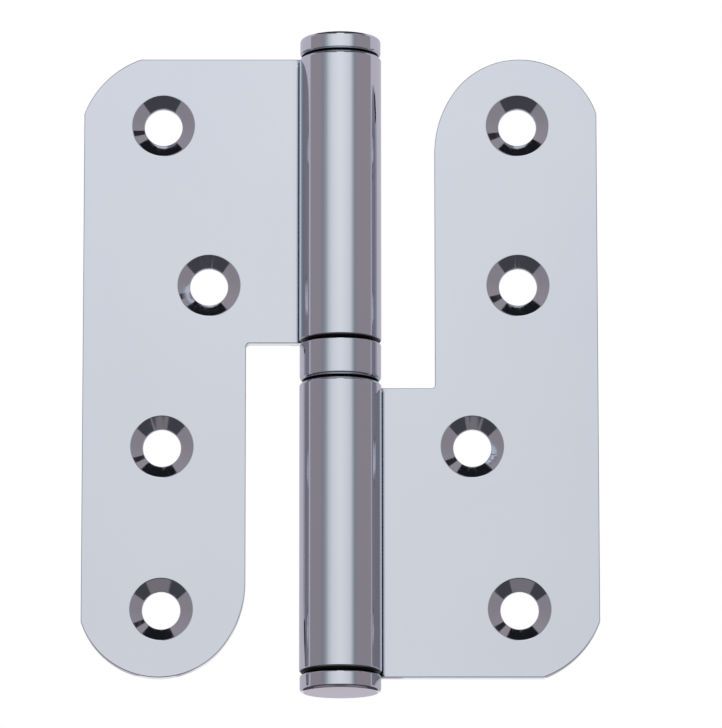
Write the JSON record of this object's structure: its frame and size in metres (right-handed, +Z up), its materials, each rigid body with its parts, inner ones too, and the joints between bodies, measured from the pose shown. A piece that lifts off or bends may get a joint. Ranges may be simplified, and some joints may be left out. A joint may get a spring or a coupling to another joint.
{
  "type": "lift-off hinge",
  "caption": "Flat lift-off door hinge with notched sheet leaves, rolled knuckles on an upright pin, a bearing ring and capped ends",
  "frame": {"origin": "on the pin's axis at half the height of the bearing ring, which is the middle of the whole hinge", "axes": "+Z up along the pin, +X from the pin towards the frame leaf, +Y out of the leaves' backs, so the screws go in from -Y; the leaves lie flat, 180 degrees open"},
  "size_m": [0.09, 0.0142, 0.116],
  "materials": {
    "frame_leaf_plating": "mirror-bright plating on formed steel sheet",
    "door_leaf_plating": "mirror-bright plating on formed steel sheet",
    "pin_steel": "ground steel, lightly greased",
    "ring_plating": "mirror-bright plating on turned steel",
    "cap_plating": "mirror-bright plating on turned steel"
  },
  "bodies": {
    "frame_part": {"frame_leaf": "frame_leaf_plating", "hinge_pin": "pin_steel", "lower_cap": "cap_plating"},
    "ring_part": {"bearing_ring": "ring_plating"},
    "door_part": {"door_leaf": "door_leaf_plating", "upper_cap": "cap_plating"}
  },
  "joints": [
    {"name": "swing", "type": "hinge", "parent": "frame_part", "child": "ring_part", "pos_m": [0, 0, 0], "axis": [0, 0, 1], "range_deg": [-145, 180]},
    {"name": "lift_off", "type": "slide", "parent": "ring_part", "child": "door_part", "axis": [0, 0, 1], "range_m": [0, 0.045]}
  ]
}
